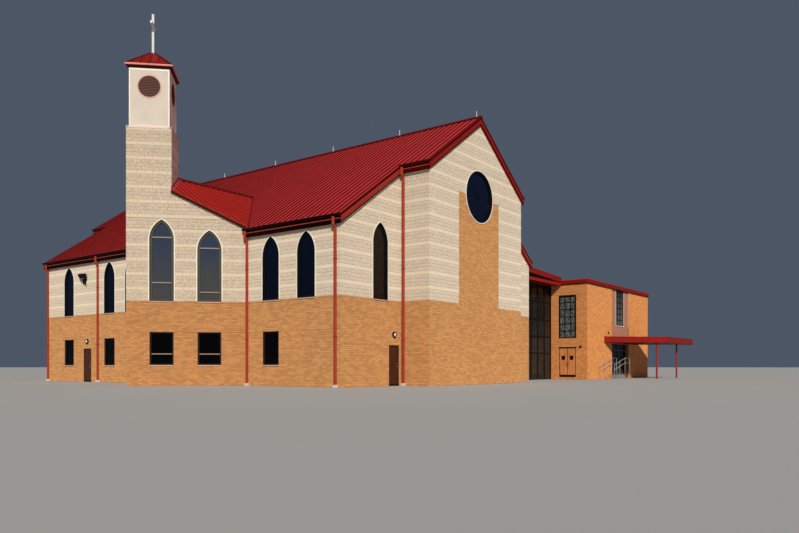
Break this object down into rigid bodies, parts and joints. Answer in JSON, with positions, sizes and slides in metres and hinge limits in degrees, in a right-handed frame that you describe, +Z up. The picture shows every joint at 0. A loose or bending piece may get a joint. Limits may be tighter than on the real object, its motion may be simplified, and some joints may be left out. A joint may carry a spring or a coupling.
{
  "type": "modern church building, 1:2 scale model",
  "caption": "Church with red metal gable roofs, brick and block walls, a side bay with a square bell tower and cross, and a glazed link to a flat-roofed annex with a canopy.",
  "frame": {"origin": "ground level in the middle of the nave's plan, on the underside of the ground floor", "axes": "+X across the nave towards the annex, +Y along the ridge away from the tower's end, +Z up"},
  "size_m": [25.0066, 18.4903, 10.7],
  "materials": {
    "masonry": "orange utility brick below, cream split-face block in bands above",
    "brick": "orange utility brick in running bond",
    "stucco": "fine troweled cream stucco",
    "panel_stucco": "mauve-brown stucco panel",
    "concrete": "smooth cast concrete",
    "red_roof": "red standing-seam metal, satin",
    "red_trim": "dark red painted metal, satin",
    "white_metal": "white painted metal",
    "dark_frame": "dark bronze painted metal",
    "brown_door": "dark brown painted steel door",
    "wood_door": "orange-brown varnished wood",
    "glass": "dark tinted glass",
    "leaded_glass": "leaded glass seen from outside"
  },
  "bodies": {
    "building": {"annex_door_frame": "dark_frame", "annex_floor": "concrete", "annex_front_glass": "glass", "annex_front_left_wall": "brick", "annex_front_panel": "panel_stucco", "annex_front_right_wall": "brick", "annex_leaded_window": "leaded_glass", "annex_left_over_door_wall": "brick", "annex_left_wall": "brick", "annex_rear_wall": "brick", "annex_roof": "red_trim", "bay_front_glass": "glass", "bay_front_wall": "masonry", "bay_rear_glass": "glass", "bay_rear_wall": "masonry", "bay_roof": "red_roof", "belfry": "stucco", "belfry_louvres": "red_trim", "canopy": "red_trim", "front_fascia": "red_trim", "front_left_door_frame": "dark_frame", "front_left_over_door_wall": "masonry", "front_left_shoulder_wall": "masonry", "front_left_shoulder_window": "glass", "front_right_shoulder_window": "glass", "front_round_window": "glass", "front_wall": "masonry", "ground_floor": "concrete", "left_end_side_wall": "masonry", "left_front_glass": "glass", "left_front_gutter": "red_trim", "left_front_side_wall": "masonry", "left_middle_side_wall": "masonry", "left_over_door_wall": "masonry", "left_rear_glass": "glass", "left_rear_gutter": "red_trim", "left_side_door_frame": "dark_frame", "link_front_glazing": "glass", "link_rear_glazing": "glass", "link_roof": "red_trim", "main_roof_left": "red_roof", "main_roof_right": "red_roof", "rear_fascia": "red_trim", "rear_left_shoulder_window": "glass", "rear_right_shoulder_window": "glass", "rear_round_window": "glass", "rear_wall": "masonry", "ridge_cap": "red_roof", "right_front_side_wall": "masonry", "right_gutter": "red_trim", "right_rear_side_wall": "masonry", "right_side_glass": "glass", "tower_cross": "white_metal", "tower_inner_wall": "masonry", "tower_roof": "red_roof", "upper_floor": "concrete"},
    "front_left_door": {"front_left_door": "brown_door"},
    "left_side_door": {"left_side_door": "brown_door"},
    "annex_door_left": {"annex_door_left": "wood_door"},
    "annex_door_right": {"annex_door_right": "wood_door"}
  },
  "joints": [
    {"name": "front_left_door_hinge", "type": "hinge", "parent": "building", "child": "front_left_door", "pos_m": [-3.19, -7.3963, 0.1], "axis": [0, 0, -1], "range_deg": [0, 100]},
    {"name": "left_side_door_hinge", "type": "hinge", "parent": "building", "child": "left_side_door", "pos_m": [-5.2463, 4.795, 0.1], "axis": [0, 0, -1], "range_deg": [0, 100]},
    {"name": "annex_door_left_hinge", "type": "hinge", "parent": "building", "child": "annex_door_left", "pos_m": [9.5537, -6.675, 0.25], "axis": [0, 0, -1], "range_deg": [0, 100]},
    {"name": "annex_door_right_hinge", "type": "hinge", "parent": "building", "child": "annex_door_right", "pos_m": [9.5537, -7.37, 0.25], "axis": [0, 0, 1], "range_deg": [0, 100]}
  ]
}
